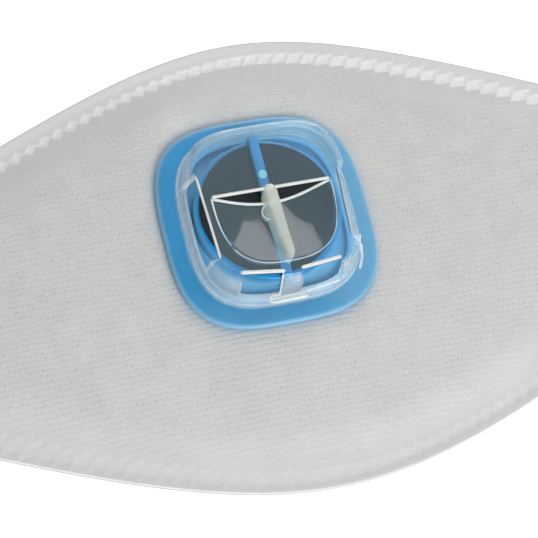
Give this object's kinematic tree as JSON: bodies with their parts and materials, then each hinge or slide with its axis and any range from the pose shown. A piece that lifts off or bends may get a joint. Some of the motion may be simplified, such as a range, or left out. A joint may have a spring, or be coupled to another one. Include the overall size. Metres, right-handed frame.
{
  "type": "disposable flat-fold dust mask",
  "caption": "Three-panel flat-fold dust mask, folded, with layered nonwoven panels, a vented exhalation valve with rubber flaps, a nose clip and elastic straps.",
  "frame": {"origin": "under the middle of the mask, on the surface that it lies on, front panel up", "axes": "+X along the width to the right tab, +Y towards the nose edge, +Z out of the front panel"},
  "size_m": [0.2062, 0.1038, 0.0228],
  "materials": {
    "outer_nonwoven": "point-bonded spunbond nonwoven, matt",
    "filter_media": "soft meltblown fleece",
    "inner_nonwoven": "smooth nonwoven, matt",
    "nose_clip_aluminium": "rolled strip",
    "nose_foam": "open-cell foam",
    "strap_elastic": "woven elastic band",
    "staple_steel": "galvanised wire",
    "blue_plastic": "satin moulded polypropylene",
    "membrane_rubber": "smooth matt rubber",
    "clear_plastic": "milky translucent moulded plastic"
  },
  "bodies": {
    "front": {"front_panel_outer_web": "outer_nonwoven", "front_panel_filter_media": "filter_media", "front_panel_inner_web": "inner_nonwoven", "upper_head_strap": "strap_elastic", "lower_head_strap": "strap_elastic", "staple_upper_left": "staple_steel", "staple_upper_right": "staple_steel", "staple_lower_left": "staple_steel", "staple_lower_right": "staple_steel", "valve_base": "blue_plastic", "membrane_clamp_bar": "blue_plastic", "membrane_centre": "membrane_rubber", "valve_cover": "clear_plastic"},
    "upper_panel": {"upper_panel_outer_web": "outer_nonwoven", "upper_panel_filter_media": "filter_media", "upper_panel_inner_web": "inner_nonwoven", "nose_clip": "nose_clip_aluminium", "nose_foam": "nose_foam"},
    "lower_panel": {"lower_panel_outer_web": "outer_nonwoven", "lower_panel_filter_media": "filter_media", "lower_panel_inner_web": "inner_nonwoven"},
    "flap_left": {"membrane_flap_left": "membrane_rubber"},
    "flap_right": {"membrane_flap_right": "membrane_rubber"}
  },
  "joints": [
    {"name": "upper_panel_fold", "type": "hinge", "parent": "front", "child": "upper_panel", "pos_m": [0, 0.05175, 0.00195], "axis": [1, 0, 0], "range_deg": [0, 50]},
    {"name": "lower_panel_fold", "type": "hinge", "parent": "front", "child": "lower_panel", "pos_m": [0, -0.05175, 0.00195], "axis": [-1, 0, 0], "range_deg": [0, 50]},
    {"name": "left_flap_lift", "type": "hinge", "parent": "front", "child": "flap_left", "pos_m": [-0.0058, 0.0073, 0.01475], "axis": [0, 1, 0], "range_deg": [0, 16], "stiffness_Nm_per_rad": 0.00015, "springref_deg": -8.59},
    {"name": "right_flap_lift", "type": "hinge", "parent": "front", "child": "flap_right", "pos_m": [-0.0028, 0.0073, 0.01475], "axis": [0, -1, 0], "range_deg": [0, 16], "stiffness_Nm_per_rad": 0.00015, "springref_deg": -8.59}
  ],
  "couplings": [
    {"joint": "right_flap_lift", "follows": "left_flap_lift", "ratio": 1}
  ]
}
